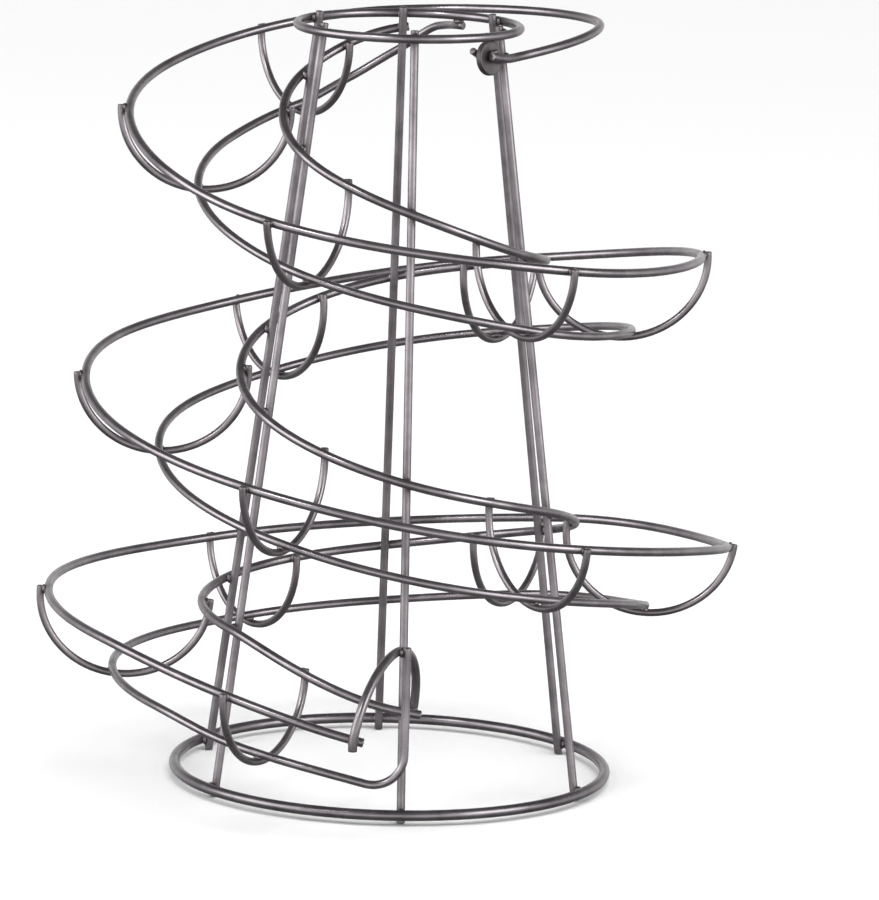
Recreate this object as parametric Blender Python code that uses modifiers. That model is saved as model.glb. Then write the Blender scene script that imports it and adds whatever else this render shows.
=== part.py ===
"""Rolling egg dispenser: a cone of six upright wires between two rings, with a
three-rail spiral channel around it, down which eggs roll to a stop at the front.

Metres, +Z up. The origin is on the surface that the rack stands on, under the
middle of its outline. Angles along the channel are in degrees, counterclockwise
seen from above, and keep counting up from turn to turn as the channel falls.
"""
import math

import bmesh
import bpy
import numpy as np
from mathutils import Matrix, Vector

MM = 0.001

# Frame: two rings, with the uprights welded inside them. Wires go by diameter.
BASE_RING_RADIUS = 65.0 * MM        # to the middle of the wire
BASE_RING_WIRE = 3.4 * MM
TOP_RING_RADIUS = 33.0 * MM
TOP_RING_WIRE = 2.8 * MM
TOP_RING_HEIGHT = 227.6 * MM        # to the middle of the wire
UPRIGHT_WIRE = 2.6 * MM
UPRIGHT_COUNT = 6
UPRIGHT_FIRST_ANGLE = 30
UPRIGHT_OVERRUN = 2.2 * MM          # the uprights end this far above the top ring's middle
FOOT_TIP = 1.2 * MM                 # and stand this far below the base ring
WELD_GAP = 0.3 * MM                 # between the surfaces of two welded wires
MERGE_DISTANCE = 0.01 * MM

# Spiral channel
RAIL_WIRE = 2.8 * MM                # outer and inner rails
BOTTOM_WIRE = 2.6 * MM
CRADLE_WIRE = 2.4 * MM
CHANNEL_WIDTH = 46.2 * MM           # between the middles of the outer and inner rails
CHANNEL_DEPTH = 21.6 * MM           # from the rails down to the bottom rail
BOTTOM_OFFSET = 2.0 * MM            # the bottom rail lies this far outside the channel's middle
CRADLE_TIP = 1.0 * MM               # a cradle's ends stand this far above the rails' middles
RAIL_CLEARANCE = 1.5 * MM           # the rails start this far below meeting the top ring
CHANNEL_CLEARANCE = 10.5 * MM       # and the bottom rail ends this far above the base ring

# The rack is bent and welded by hand, so the channel falls unevenly. These are
# the rails' heights over each sixth of a turn, as shares of the fall. The bends
# of the wire carry them a little past both ends.
FALL_FIRST_ANGLE = -90
FALL_STEP = 60
FALL_SHARES = (1.021, 0.987, 1.018, 1.001, 0.932, 0.838, 0.755, 0.677, 0.634, 0.587,
               0.517, 0.424, 0.34, 0.272, 0.19, 0.13, 0.102, 0.082, -0.011, -0.05)

# Each cradle leans its own few degrees, outwards where the angle is negative.
LEAN_FIRST_ANGLE = 120
LEAN_STEP = 60
LEAN_DEGREES = (0, 0, -7, -3, 3, -4, -9, -3, -4, -7, -8, -2, -2, 4, 2, -6)

# The channel opens out from the frame over its first half turn.
OPENING_ANGLES = (-60, -30, 30, 90, 150, 210)
OPENING_WIDTH_SHARES = (0.0, 0.0, 0.73, 0.99, 0.97, 1.0)
BOTTOM_ANGLES = (57, 75, 90, 105, 120, 150)
BOTTOM_ACROSS_SHARES = (0.0, 0.5, 0.8, 0.93, 1.0, 1.0)
BOTTOM_SINK_SHARES = (0.0, 0.09, 0.46, 0.79, 0.97, 1.0)

# Towards the stop, the bottom rail comes up a little.
BOTTOM_END_ANGLES = (945, 982)
BOTTOM_END_DEPTH_SHARES = (1.0, 0.81)

OUTER_RAIL_END_ANGLES = (-47, 982.5)
INNER_RAIL_END_ANGLES = (86.5, 995)
BOTTOM_RAIL_START_ANGLE = 57
CRADLE_FIRST_ANGLE = 120
CRADLE_COUNT = 15
CRADLE_STEP = 60
CRADLE_SEGMENTS = 12
ANGLE_STEP = 7.5                    # between two points of a rail or a ring

# End stop: an arch over the rails, beside which the bottom rail turns up
STOP_WIRE = 2.8 * MM
STOP_HEIGHT = 22.5 * MM             # from the rails to the arch's top
STOP_OUTER_TIP = 2.6 * MM           # its outer foot ends this far below the outer rail
STOP_INNER_TIP = 0.8 * MM
STOP_LEAN = 3.7 * MM                # its top leans this far down the channel
STOP_OUTER_ANGLE = 981
STOP_UPRIGHT_ANGLE = 990            # its inner foot stands beside this upright
POST_BEND_RADIUS = 9.0 * MM
POST_TIP = 1.6 * MM                 # the post ends this far above the arch's middle line
BEND_SEGMENTS = 6

# Plate behind the outer rail's upper end, with a short cut wire behind it
PLATE_DIAMETER = 10.2 * MM
PLATE_THICKNESS = 2.0 * MM
PLATE_EDGE = 0.4 * MM
PLATE_SIDES = 24
PLATE_ANGLE = -43.5
STUB_WIRE = 2.2 * MM
STUB_LENGTH = 4.2 * MM
STUB_OVERHANG = 0.4 * MM            # how far its end stands out past the plate's edge
STUB_ANGLE = 30

RING_BASE_HEIGHT = FOOT_TIP + BASE_RING_WIRE / 2
CONE_TILT = math.atan2(BASE_RING_RADIUS - TOP_RING_RADIUS, TOP_RING_HEIGHT - RING_BASE_HEIGHT)
UP = Vector((0, 0, 1))


def clear_scene():
    for obj in list(bpy.data.objects):
        bpy.data.objects.remove(obj, do_unlink=True)


def metal(name, colour, roughness):
    """A satin dark metal finish."""
    material = bpy.data.materials.new(name)
    material.use_nodes = True
    shader = material.node_tree.nodes["Principled BSDF"]
    shader.inputs["Base Color"].default_value = (*colour, 1.0)
    shader.inputs["Roughness"].default_value = roughness
    shader.inputs["Metallic"].default_value = 1.0
    return material


def polar(angle, radius, height):
    """A point of the rack, from its angle in degrees, its radius and its height."""
    turn = math.radians(angle)
    return Vector((radius * math.cos(turn), radius * math.sin(turn), height))


def seat(first_wire, second_wire):
    """Distance between the middles of two wires that are welded together."""
    return first_wire / 2 + second_wire / 2 + WELD_GAP


def table_slopes(xs, ys):
    """Slopes at the points of a table that keep a curve between its neighbours."""
    steps = np.diff(ys) / np.diff(xs)
    slopes = np.zeros(len(xs))
    for i, (before, after) in enumerate(zip(steps[:-1], steps[1:])):
        if before * after > 0:
            slopes[i + 1] = 2 * before * after / (before + after)
    return slopes


def smooth_table(x, xs, ys):
    """A smooth curve through the points of a table."""
    slopes = table_slopes(xs, ys)
    x = min(max(x, xs[0]), xs[-1])
    i = int(np.searchsorted(xs[1:-1], x, side="right"))
    span = xs[i + 1] - xs[i]
    t = (x - xs[i]) / span
    start = (ys[i] * (1 + 2 * t) + slopes[i] * span * t) * (1 - t) ** 2
    end = (ys[i + 1] * (3 - 2 * t) - slopes[i + 1] * span * (1 - t)) * t ** 2
    return float(start + end)


def even_table(angle, first_angle, step, values):
    """The same for a table whose angles are evenly spaced."""
    angles = [first_angle + step * i for i in range(len(values))]
    return smooth_table(angle, angles, values)


def cone_radius(height):
    """Radius of the uprights' middle lines at a height."""
    low = BASE_RING_RADIUS - seat(BASE_RING_WIRE, UPRIGHT_WIRE) / math.cos(CONE_TILT)
    high = TOP_RING_RADIUS - seat(TOP_RING_WIRE, UPRIGHT_WIRE) / math.cos(CONE_TILT)
    share = (height - RING_BASE_HEIGHT) / (TOP_RING_HEIGHT - RING_BASE_HEIGHT)
    return low + (high - low) * share


def rail_height(angle):
    """Height of the rails, which fall from under the top ring to over the base ring."""
    high = TOP_RING_HEIGHT - seat(TOP_RING_WIRE, RAIL_WIRE) - RAIL_CLEARANCE
    low = RING_BASE_HEIGHT + CHANNEL_DEPTH + CHANNEL_CLEARANCE
    share = even_table(angle, FALL_FIRST_ANGLE, FALL_STEP, FALL_SHARES)
    return low + (high - low) * share


def channel_lean(angle):
    return math.radians(even_table(angle, LEAN_FIRST_ANGLE, LEAN_STEP, LEAN_DEGREES))


def channel_width(angle):
    return CHANNEL_WIDTH * smooth_table(angle, OPENING_ANGLES, OPENING_WIDTH_SHARES)


def inner_radius(height):
    """Radius of the inner rail, which lies against the uprights' outside."""
    return cone_radius(height) + seat(UPRIGHT_WIRE, RAIL_WIRE) / math.cos(CONE_TILT)


def channel_point(angle, across, under):
    """A point of the channel's section, so far across from the inner rail and so far under it."""
    height = rail_height(angle)
    lean = channel_lean(angle)
    radius = inner_radius(height) + across * math.cos(lean) + under * math.sin(lean)
    return polar(angle, radius, height + across * math.sin(lean) - under * math.cos(lean))


def outer_rail_point(angle):
    return channel_point(angle, channel_width(angle), 0)


def inner_rail_point(angle):
    return channel_point(angle, 0, 0)


def bottom_rail_place(angle):
    """How far across and under the bottom rail lies: it sinks from under the top ring."""
    across_share = smooth_table(angle, BOTTOM_ANGLES, BOTTOM_ACROSS_SHARES)
    sink_share = smooth_table(angle, BOTTOM_ANGLES, BOTTOM_SINK_SHARES)
    across = (channel_width(angle) / 2 + BOTTOM_OFFSET) * across_share
    ring_seat = TOP_RING_HEIGHT - seat(TOP_RING_WIRE, BOTTOM_WIRE)
    start_depth = rail_height(angle) - ring_seat
    depth = CHANNEL_DEPTH * smooth_table(angle, BOTTOM_END_ANGLES, BOTTOM_END_DEPTH_SHARES)
    return across, start_depth + (depth - start_depth) * sink_share


def bottom_rail_point(angle):
    return channel_point(angle, *bottom_rail_place(angle))


def rail_angles(start, end):
    """Angles from start to end, on whole steps between the two ends."""
    first = math.floor(start / ANGLE_STEP) + 1
    last = math.ceil(end / ANGLE_STEP) - 1
    return [start, *(ANGLE_STEP * i for i in range(first, last + 1)), end]


def wire(name, points, diameter, material, collection, closed=False):
    """A round wire through the points, with flat cut ends."""
    curve = bpy.data.curves.new(name, "CURVE")
    curve.dimensions = "3D"
    curve.bevel_depth = diameter / 2
    curve.bevel_resolution = 2
    curve.use_fill_caps = True
    spline = curve.splines.new("POLY")
    spline.points.add(len(points) - 1)
    for target, point in zip(spline.points, points):
        target.co = (*point, 1.0)
    spline.use_cyclic_u = closed
    spline.use_smooth = True
    curve.materials.append(material)
    obj = bpy.data.objects.new(name, curve)
    collection.objects.link(obj)
    return obj


def as_mesh(obj):
    """Turns a wire into a mesh whose caps are welded on."""
    depsgraph = bpy.context.evaluated_depsgraph_get()
    mesh = bpy.data.meshes.new_from_object(obj.evaluated_get(depsgraph))
    shape = bmesh.new()
    shape.from_mesh(mesh)
    bmesh.ops.remove_doubles(shape, verts=shape.verts, dist=MERGE_DISTANCE)
    shape.to_mesh(mesh)
    shape.free()
    name = obj.name
    solid = bpy.data.objects.new(name, mesh)
    solid.matrix_world = obj.matrix_world.copy()
    obj.users_collection[0].objects.link(solid)
    bpy.data.objects.remove(obj, do_unlink=True)
    solid.name = name
    return solid


def ring(name, radius, height, diameter, material, collection):
    angles = np.arange(0, 360, ANGLE_STEP)
    points = [polar(angle, radius, height) for angle in angles]
    return wire(name, points, diameter, material, collection, closed=True)


def upright(angle, material, collection):
    """A straight wire up the cone, whose foot is cut level to stand flat."""
    top = TOP_RING_HEIGHT + UPRIGHT_OVERRUN
    foot = polar(angle, cone_radius(0), 0)
    head = polar(angle, cone_radius(top), top)
    obj = as_mesh(wire(f"upright_{angle:03d}", [foot, head], UPRIGHT_WIRE, material, collection))
    along = (head - foot) / top
    for vertex in obj.data.vertices:
        if vertex.co.z < top / 2:
            vertex.co -= along * vertex.co.z
    return obj


def cradle(name, angle, material, collection):
    """A U-shaped wire, half an ellipse, outside the two rails and under the bottom one."""
    middle = channel_width(angle) / 2
    reach = middle + seat(RAIL_WIRE, CRADLE_WIRE)
    across, under = bottom_rail_place(angle)
    low = under + seat(BOTTOM_WIRE, CRADLE_WIRE)
    drop = low / math.sqrt(1 - ((across - middle) / reach) ** 2)
    section = [(middle - reach, -CRADLE_TIP)]
    for i in range(CRADLE_SEGMENTS + 1):
        turn = math.pi * i / CRADLE_SEGMENTS
        section.append((middle - reach * math.cos(turn), drop * math.sin(turn)))
    section.append((middle + reach, -CRADLE_TIP))
    points = [channel_point(angle, *place) for place in section]
    return wire(name, points, CRADLE_WIRE, material, collection)


def stop_feet():
    """Where the arch meets the rails: outside the outer one and inside the inner one."""
    outer_rail = outer_rail_point(STOP_OUTER_ANGLE)
    outer_radius = outer_rail.xy.length + seat(RAIL_WIRE, STOP_WIRE)
    outer = polar(STOP_OUTER_ANGLE, outer_radius, outer_rail.z)
    height = rail_height(STOP_UPRIGHT_ANGLE)
    inner_foot_radius = inner_radius(height) - seat(RAIL_WIRE, STOP_WIRE) / math.cos(CONE_TILT)
    beside = math.degrees(math.asin(seat(UPRIGHT_WIRE, STOP_WIRE) / inner_foot_radius))
    angle = STOP_UPRIGHT_ANGLE + beside
    return outer, polar(angle, inner_foot_radius, rail_height(angle))


def stop_downstream():
    """Level direction square to the arch, down the channel."""
    outer, inner = stop_feet()
    return UP.cross(outer - inner).normalized()


def stop_point(turn):
    """A point of the arch: turn runs from 0 at the outer foot to pi at the inner one."""
    outer, inner = stop_feet()
    middle = (outer + inner) / 2
    rise = UP * STOP_HEIGHT + stop_downstream() * STOP_LEAN
    return middle + (outer - middle) * math.cos(turn) + rise * math.sin(turn)


def end_stop(material, collection):
    outer, inner = stop_feet()
    points = [outer - UP * STOP_OUTER_TIP]
    points += [stop_point(math.pi * i / CRADLE_SEGMENTS) for i in range(CRADLE_SEGMENTS + 1)]
    points.append(inner - UP * STOP_INNER_TIP)
    return wire("end_stop", points, STOP_WIRE, material, collection)


def bottom_rail(material, collection):
    """The bottom rail, whose lower end turns up into a post beside the arch's top."""
    beside = stop_downstream() * seat(STOP_WIRE, BOTTOM_WIRE)
    post_top = stop_point(math.pi / 2) + beside + UP * POST_TIP
    post_angle = math.degrees(math.atan2(post_top.y, post_top.x)) % 360 + 720
    run = bottom_rail_point(post_angle) - bottom_rail_point(post_angle - ANGLE_STEP)
    slope = math.atan2(run.z, run.xy.length)
    reach = POST_BEND_RADIUS * (1 - math.sin(slope))
    bend_angle = post_angle - math.degrees(reach / bottom_rail_point(post_angle).xy.length)
    points = [bottom_rail_point(angle) for angle in rail_angles(BOTTOM_RAIL_START_ANGLE, bend_angle)]
    start = points[-1]
    level = Vector((post_top.x - start.x, post_top.y - start.y, 0)).normalized()
    for i in range(1, BEND_SEGMENTS + 1):
        pitch = slope + (math.pi / 2 - slope) * i / BEND_SEGMENTS
        forward = level * (math.sin(pitch) - math.sin(slope))
        climb = UP * (math.cos(slope) - math.cos(pitch))
        points.append(start + (forward + climb) * POST_BEND_RADIUS)
    points.append(post_top)
    return wire("bottom_rail", points, BOTTOM_WIRE, material, collection)


def plate_frame():
    """The plate's axes: along the rail, up the cone and outwards, with its middle as origin."""
    rail = outer_rail_point(PLATE_ANGLE)
    along = UP.cross(polar(PLATE_ANGLE, 1, 0))
    up_cone = polar(PLATE_ANGLE, -math.sin(CONE_TILT), math.cos(CONE_TILT))
    outward = along.cross(up_cone)
    middle = rail - outward * (RAIL_WIRE / 2 + WELD_GAP + PLATE_THICKNESS / 2)
    axes = Matrix((along, up_cone, outward)).transposed().to_4x4()
    return Matrix.Translation(middle) @ axes


def anchor_plate(material, collection):
    mesh = bpy.data.meshes.new("anchor_plate")
    shape = bmesh.new()
    bmesh.ops.create_cone(shape, cap_ends=True, segments=PLATE_SIDES, radius1=PLATE_DIAMETER / 2,
                          radius2=PLATE_DIAMETER / 2, depth=PLATE_THICKNESS)
    shape.to_mesh(mesh)
    shape.free()
    mesh.materials.append(material)
    obj = bpy.data.objects.new("anchor_plate", mesh)
    obj.matrix_world = plate_frame()
    collection.objects.link(obj)
    edge = obj.modifiers.new("rim", "BEVEL")
    edge.width = PLATE_EDGE
    edge.segments = 1
    return obj


def anchor_stub(material, collection):
    """A short cut wire behind the plate, which shows past its edge away from the upright."""
    slope = math.radians(STUB_ANGLE)
    along = Vector((-math.cos(slope), math.sin(slope), 0))
    behind = Vector((0, 0, -(PLATE_THICKNESS / 2 + WELD_GAP + STUB_WIRE / 2)))
    tip = PLATE_DIAMETER / 2 + STUB_OVERHANG
    frame = plate_frame()
    points = [frame @ (behind + along * (tip - STUB_LENGTH)), frame @ (behind + along * tip)]
    return wire("anchor_stub", points, STUB_WIRE, material, collection)


def centre_on_outline(root, pieces):
    """Moves the rack so that the origin is under the middle of its outline."""
    bpy.context.view_layer.update()
    depsgraph = bpy.context.evaluated_depsgraph_get()
    corners = []
    for piece in pieces:
        mesh = piece.evaluated_get(depsgraph).to_mesh()
        corners += [piece.matrix_world @ vertex.co for vertex in mesh.vertices]
        piece.evaluated_get(depsgraph).to_mesh_clear()
    low = Vector([min(corner[i] for corner in corners) for i in range(3)])
    high = Vector([max(corner[i] for corner in corners) for i in range(3)])
    middle = (low + high) / 2
    root.location = (-middle.x, -middle.y, 0)
    for piece in pieces:
        piece.parent = root
    bpy.context.view_layer.update()


def build():
    clear_scene()
    collection = bpy.data.collections.new("egg_dispenser")
    bpy.context.scene.collection.children.link(collection)
    root = bpy.data.objects.new("rack_axis", None)
    collection.objects.link(root)
    ring_metal = metal("ring_wire", (0.2, 0.19, 0.19), 0.3)
    upright_metal = metal("upright_wire", (0.21, 0.2, 0.2), 0.32)
    rail_metal = metal("rail_wire", (0.2, 0.195, 0.195), 0.28)
    cradle_metal = metal("cradle_wire", (0.18, 0.172, 0.172), 0.32)
    stop_metal = metal("stop_wire", (0.19, 0.182, 0.182), 0.3)
    plate_metal = metal("plate_sheet", (0.14, 0.135, 0.13), 0.4)

    pieces = [
        ring("base_ring", BASE_RING_RADIUS, RING_BASE_HEIGHT, BASE_RING_WIRE, ring_metal, collection),
        ring("top_ring", TOP_RING_RADIUS, TOP_RING_HEIGHT, TOP_RING_WIRE, ring_metal, collection),
    ]
    for i in range(UPRIGHT_COUNT):
        angle = UPRIGHT_FIRST_ANGLE + 360 * i // UPRIGHT_COUNT
        pieces.append(upright(angle, upright_metal, collection))
    outer = [outer_rail_point(angle) for angle in rail_angles(*OUTER_RAIL_END_ANGLES)]
    inner = [inner_rail_point(angle) for angle in rail_angles(*INNER_RAIL_END_ANGLES)]
    pieces.append(wire("outer_rail", outer, RAIL_WIRE, rail_metal, collection))
    pieces.append(wire("inner_rail", inner, RAIL_WIRE, rail_metal, collection))
    pieces.append(bottom_rail(rail_metal, collection))
    for i in range(CRADLE_COUNT):
        angle = CRADLE_FIRST_ANGLE + CRADLE_STEP * i
        pieces.append(cradle(f"cradle_{i + 1:02d}", angle, cradle_metal, collection))
    pieces.append(end_stop(stop_metal, collection))
    pieces.append(anchor_plate(plate_metal, collection))
    pieces.append(anchor_stub(stop_metal, collection))
    centre_on_outline(root, pieces)


build()
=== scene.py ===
# %% [markdown]
# # A rolling rack of welded wire, dressed for a picture
# The rack is a cone of six upright wires between two rings. A spiral channel of
# three rails is welded around it, and round food rolls down the channel to an
# arched stop at the front. Everything but one small plate is round wire, cut,
# bent, welded and then plated in a dark satin grey.
#
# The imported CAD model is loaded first. It gives every wire's place and the box
# that the finished rack has to stay in, so that box is measured straight away.

# %% Load the CAD model
import math

import bmesh
import bpy
import numpy as np
from mathutils import Matrix, Vector, noise


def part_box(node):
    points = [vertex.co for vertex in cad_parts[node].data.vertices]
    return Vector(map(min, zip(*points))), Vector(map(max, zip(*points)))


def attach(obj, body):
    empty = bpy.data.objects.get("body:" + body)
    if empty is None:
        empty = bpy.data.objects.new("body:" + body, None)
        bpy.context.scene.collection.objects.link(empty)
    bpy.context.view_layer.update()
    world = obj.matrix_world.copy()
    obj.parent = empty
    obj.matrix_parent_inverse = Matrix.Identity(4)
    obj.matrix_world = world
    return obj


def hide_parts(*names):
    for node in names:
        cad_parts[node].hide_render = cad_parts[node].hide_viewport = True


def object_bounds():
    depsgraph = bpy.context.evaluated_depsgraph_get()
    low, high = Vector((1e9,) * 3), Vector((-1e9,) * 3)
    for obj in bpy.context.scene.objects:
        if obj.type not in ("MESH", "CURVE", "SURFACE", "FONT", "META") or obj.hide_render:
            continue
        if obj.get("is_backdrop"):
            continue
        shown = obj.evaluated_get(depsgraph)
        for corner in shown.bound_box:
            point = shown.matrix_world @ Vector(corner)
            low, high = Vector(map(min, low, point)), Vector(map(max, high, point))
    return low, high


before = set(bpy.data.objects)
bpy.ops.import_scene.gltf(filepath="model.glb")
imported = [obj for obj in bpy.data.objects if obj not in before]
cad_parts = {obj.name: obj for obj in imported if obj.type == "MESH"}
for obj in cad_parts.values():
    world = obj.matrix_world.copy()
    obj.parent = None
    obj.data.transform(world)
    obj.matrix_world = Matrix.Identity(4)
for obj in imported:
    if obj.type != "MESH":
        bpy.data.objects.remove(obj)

CAD_BOX = [[float(v) for v in corner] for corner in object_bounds()]
MM = 0.001
UP = Vector((0, 0, 1))


def in_mm(lengths, digits=1):
    """Lengths in metres as rounded millimetres, for the printed notes."""
    return [round(length / MM, digits) for length in lengths]


print("CAD nodes:", len(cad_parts), "box in mm:", [in_mm(corner) for corner in CAD_BOX])

# %% [markdown]
# ## Where the rack's own axis is
# The model's origin is under the middle of its outline, but the wires are bent
# around the axis of the two rings. The base ring is a true circle, so the middle
# of its box is a point of that axis. All paths below are worked out around the
# axis and moved there at the end, as one would mark out the rack on a turntable.

# %% Find the axis from the base ring
ring_low, ring_high = (Vector(corner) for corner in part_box("base_ring"))
AXIS = Vector(((ring_low.x + ring_high.x) / 2, (ring_low.y + ring_high.y) / 2, 0))


def polar(angle, radius, height):
    """A point of the rack, from its angle in degrees, its radius and its height."""
    turn = math.radians(angle)
    return Vector((radius * math.cos(turn), radius * math.sin(turn), height))


print("axis in mm:", in_mm(AXIS, 2))

# %% [markdown]
# ## The wire and the frame's sizes
# A wire rack is ordered by wire thickness, so these diameters come first. Where
# two wires are welded their surfaces lie 0.3 mm apart in the CAD model, because
# its solids may not overlap. The weld beads made further down fill that gap. The
# cradles are light enough to be pressed right onto the rails as they are welded.
#
# The uprights lean inwards, so a point of one of them is found from its height:
# its radius runs evenly from inside the base ring to inside the top ring.

# %% Wire sizes, the cone and its uprights
BASE_RING_WIRE = 3.4 * MM
TOP_RING_WIRE = 2.8 * MM
UPRIGHT_WIRE = 2.6 * MM
RAIL_WIRE = 2.8 * MM            # the outer and the inner rail
BOTTOM_WIRE = 2.6 * MM
CRADLE_WIRE = 2.4 * MM
STOP_WIRE = 2.8 * MM
STUB_WIRE = 2.2 * MM
WELD_GAP = 0.3 * MM
CRADLE_PRESS = 0.5 * MM         # how far a cradle is pressed onto the rails
BASE_RING_RADIUS = 65.0 * MM
TOP_RING_RADIUS = 33.0 * MM
TOP_RING_HEIGHT = 227.6 * MM
FOOT_TIP = 1.2 * MM             # the uprights reach this far below the base ring
HEAD_TIP = 2.2 * MM             # and this far above the middle of the top ring
RING_BASE_HEIGHT = FOOT_TIP + BASE_RING_WIRE / 2
UPRIGHT_HEAD = TOP_RING_HEIGHT + HEAD_TIP
CONE_TILT = math.atan2(BASE_RING_RADIUS - TOP_RING_RADIUS, TOP_RING_HEIGHT - RING_BASE_HEIGHT)


def seat(first_wire, second_wire):
    """Distance between the middles of two wires that are welded together."""
    return first_wire / 2 + second_wire / 2 + WELD_GAP


def cone_radius(height):
    """Radius of the uprights' middle lines at a height."""
    low = BASE_RING_RADIUS - seat(BASE_RING_WIRE, UPRIGHT_WIRE) / math.cos(CONE_TILT)
    high = TOP_RING_RADIUS - seat(TOP_RING_WIRE, UPRIGHT_WIRE) / math.cos(CONE_TILT)
    share = (height - RING_BASE_HEIGHT) / (TOP_RING_HEIGHT - RING_BASE_HEIGHT)
    return low + (high - low) * share


def upright_point(angle, height):
    """A point of an upright's middle line."""
    return polar(angle, cone_radius(height), height)


def inner_radius(height):
    """Radius of the inner rail, which lies against the uprights' outside."""
    return cone_radius(height) + seat(UPRIGHT_WIRE, RAIL_WIRE) / math.cos(CONE_TILT)


print("uprights lean", round(math.degrees(CONE_TILT), 1), "degrees")

# %% [markdown]
# ## The uneven fall of the channel
# The channel was bent and welded by hand. It doesn't fall like a screw thread,
# so its height, lean and width are kept in short tables, the longest with one
# value for each sixth of a turn, and a smooth curve is drawn through them. The
# curve's slope at each point lies between its neighbours' slopes, so the wire
# never wiggles.

# %% Smooth curves through short tables
def table_slopes(xs, ys):
    """Slopes at the points of a table that keep a curve between its neighbours."""
    steps = np.diff(ys) / np.diff(xs)
    slopes = np.zeros(len(xs))
    for i, (before, after) in enumerate(zip(steps[:-1], steps[1:])):
        if before * after > 0:
            slopes[i + 1] = 2 * before * after / (before + after)
    return slopes


def smooth_table(x, xs, ys):
    """A smooth curve through the points of a table."""
    slopes = table_slopes(xs, ys)
    x = min(max(x, xs[0]), xs[-1])
    i = int(np.searchsorted(xs[1:-1], x, side="right"))
    span = xs[i + 1] - xs[i]
    t = (x - xs[i]) / span
    start = (ys[i] * (1 + 2 * t) + slopes[i] * span * t) * (1 - t) ** 2
    end = (ys[i + 1] * (3 - 2 * t) - slopes[i + 1] * span * (1 - t)) * t ** 2
    return float(start + end)


def every_sixth(angle, first_angle, values):
    """The same for a table with one value for each sixth of a turn."""
    return smooth_table(angle, [first_angle + 60 * i for i in range(len(values))], values)


print("halfway between 1 and 3:", smooth_table(0.5, (0, 1, 2), (1, 3, 4)))

# %% The channel's height, lean and width
CHANNEL_WIDTH = 46.2 * MM
CHANNEL_DEPTH = 21.6 * MM
CHANNEL_HIGH = 223.0 * MM
CHANNEL_LOW = 35.0 * MM
BOTTOM_OFFSET = 2.0 * MM        # the bottom rail lies this far outside the channel's middle
FALL_FIRST_ANGLE = -90
FALL_SHARES = (1.021, 0.987, 1.018, 1.001, 0.932, 0.838, 0.755, 0.677, 0.634, 0.587,
               0.517, 0.424, 0.34, 0.272, 0.19, 0.13, 0.102, 0.082, -0.011, -0.05)
LEAN_FIRST_ANGLE = 120
LEAN_DEGREES = (0, 0, -7, -3, 3, -4, -9, -3, -4, -7, -8, -2, -2, 4, 2, -6)
WIDTH_ANGLES = (-60, -30, 30, 90, 150, 210)
WIDTH_SHARES = (0.0, 0.0, 0.73, 0.99, 0.97, 1.0)
SINK_ANGLES = (57, 75, 90, 105, 120, 150)
ACROSS_SHARES = (0.0, 0.5, 0.8, 0.93, 1.0, 1.0)
SINK_SHARES = (0.0, 0.09, 0.46, 0.79, 0.97, 1.0)
STOP_RISE_ANGLES = (945, 982)
STOP_RISE_SHARES = (1.0, 0.81)


def rail_height(angle):
    fall = every_sixth(angle, FALL_FIRST_ANGLE, FALL_SHARES)
    return CHANNEL_LOW + (CHANNEL_HIGH - CHANNEL_LOW) * fall


def channel_width(angle):
    """The channel opens out from the frame over its first half turn."""
    return CHANNEL_WIDTH * smooth_table(angle, WIDTH_ANGLES, WIDTH_SHARES)


def channel_point(angle, across, under):
    """A point of the channel's section, so far across from the inner rail and so far under it."""
    height = rail_height(angle)
    lean = math.radians(every_sixth(angle, LEAN_FIRST_ANGLE, LEAN_DEGREES))
    radius = inner_radius(height) + across * math.cos(lean) + under * math.sin(lean)
    return polar(angle, radius, height + across * math.sin(lean) - under * math.cos(lean))


def bottom_place(angle):
    """How far across and under the bottom rail lies.

    It sinks from under the top ring, and rises a little again before the stop.
    """
    across = channel_width(angle) / 2 + BOTTOM_OFFSET
    start = rail_height(angle) - (TOP_RING_HEIGHT - seat(TOP_RING_WIRE, BOTTOM_WIRE))
    depth = CHANNEL_DEPTH * smooth_table(angle, STOP_RISE_ANGLES, STOP_RISE_SHARES)
    sunk = start + (depth - start) * smooth_table(angle, SINK_ANGLES, SINK_SHARES)
    return across * smooth_table(angle, SINK_ANGLES, ACROSS_SHARES), sunk


for turn_angle in (90, 450, 810):
    print("rail at", turn_angle, "degrees:", round(rail_height(turn_angle) / MM, 1), "mm high")

# %% [markdown]
# ## How a wire is made
# A round wire could be lathed and bent, or extruded ring by ring. A Blender
# curve with a round bevel does both at once: it carries a circle along a path
# and keeps it square to the path. The curve is turned into a mesh, because a
# mesh can take finer work: its two end caps are welded on and made one face
# each, and the sharp rims that wire cutters leave are rounded over a little.
#
# The curve also leaves a UV map. It is rescaled so that U is the distance along
# the wire in metres and V is one turn around it. The drawn lines of the metal
# follow this map, as they follow a real wire out of its die.
#
# The CAD's wires have flat facets, and a true circle around them would come out
# of the rack's box by a hair. Measured against the picture the wires are also a
# touch thinner. So each one is swept at 95 parts in a hundred of its thickness.

# %% Sweep a round wire along a path
WIRE_BEVEL = 6                  # 16 faces around
WIRE_TRIM = 0.95                # the plated wire against the CAD's
END_ROUNDING = 0.3 * MM
END_SEGMENTS = 3
MERGE_DISTANCE = 0.005 * MM
TEST_LENGTH = 50 * MM


def path_length(points):
    return sum((b - a).length for a, b in zip(points[:-1], points[1:]))


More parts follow.
